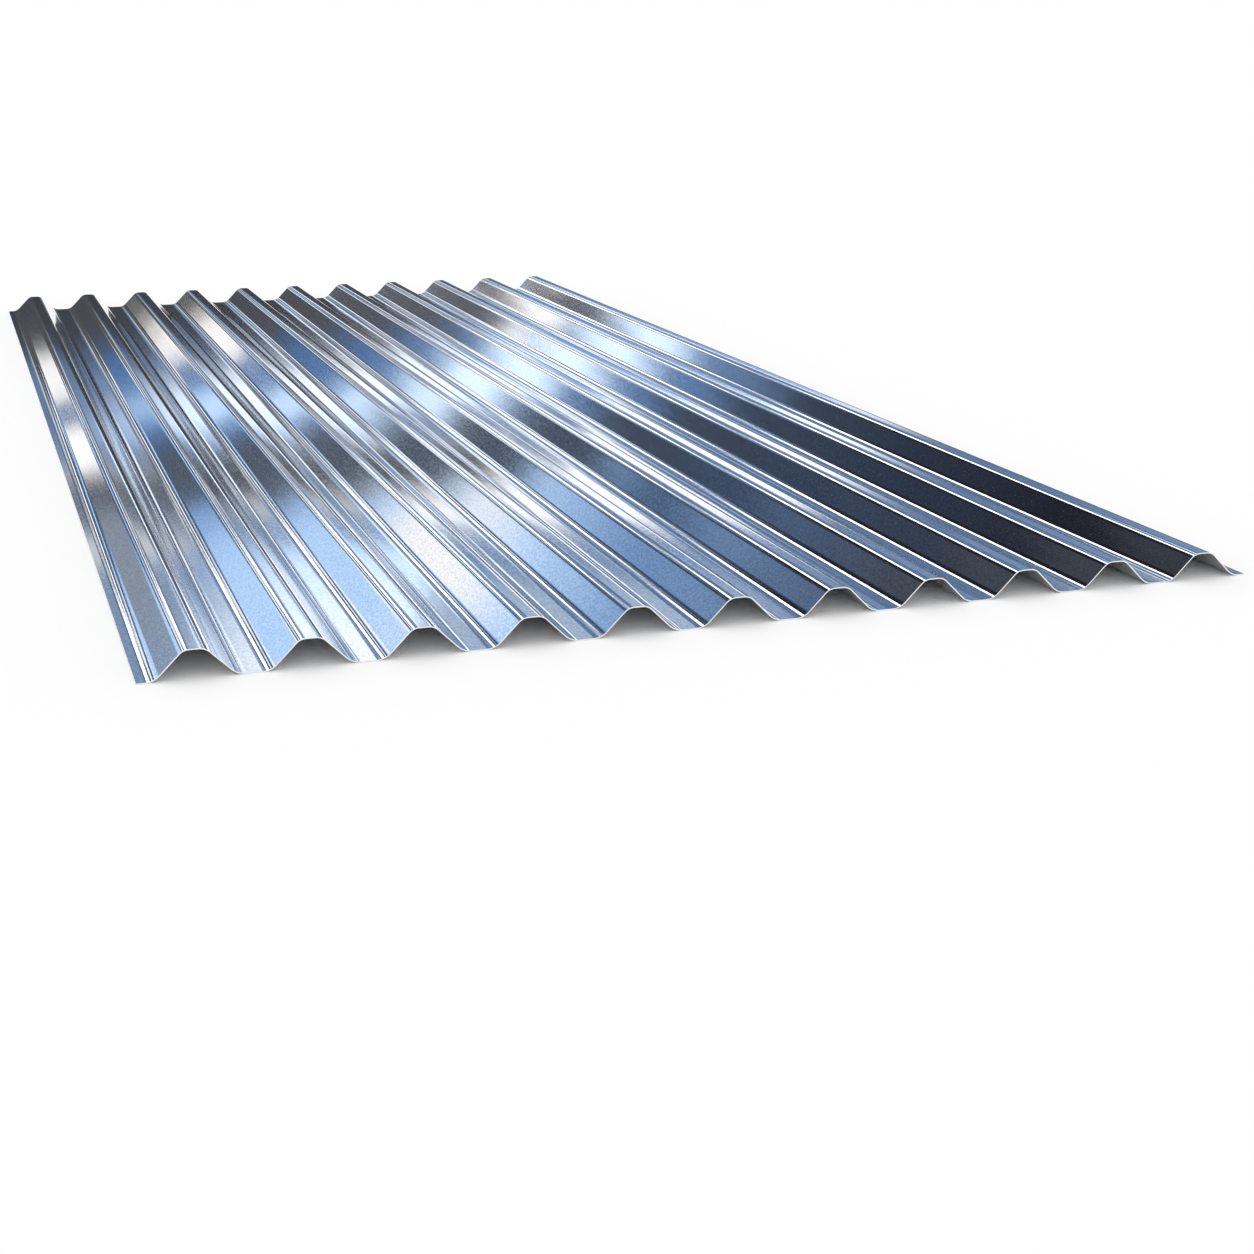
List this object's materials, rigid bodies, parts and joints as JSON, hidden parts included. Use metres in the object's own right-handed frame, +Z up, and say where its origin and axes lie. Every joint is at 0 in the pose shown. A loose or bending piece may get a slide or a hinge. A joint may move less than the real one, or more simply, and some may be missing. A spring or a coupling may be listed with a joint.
{
  "type": "corrugated roofing sheet",
  "caption": "Bright galvanised steel roofing sheet, roll formed into even rounded waves with flat crests and pans; both long edges end in a flat lip that laps with the next sheet.",
  "frame": {"origin": "centre of the sheet's footprint, level with the undersides of the pans", "axes": "+X across the waves, +Y along them, the length of the sheet, +Z up, the weather side"},
  "size_m": [0.8382, 1.829, 0.0208],
  "materials": {
    "galvanised_steel": "bright galvanised, smooth, with a fine grain"
  },
  "bodies": {
    "root": {"corrugated_sheet": "galvanised_steel"}
  },
  "joints": []
}
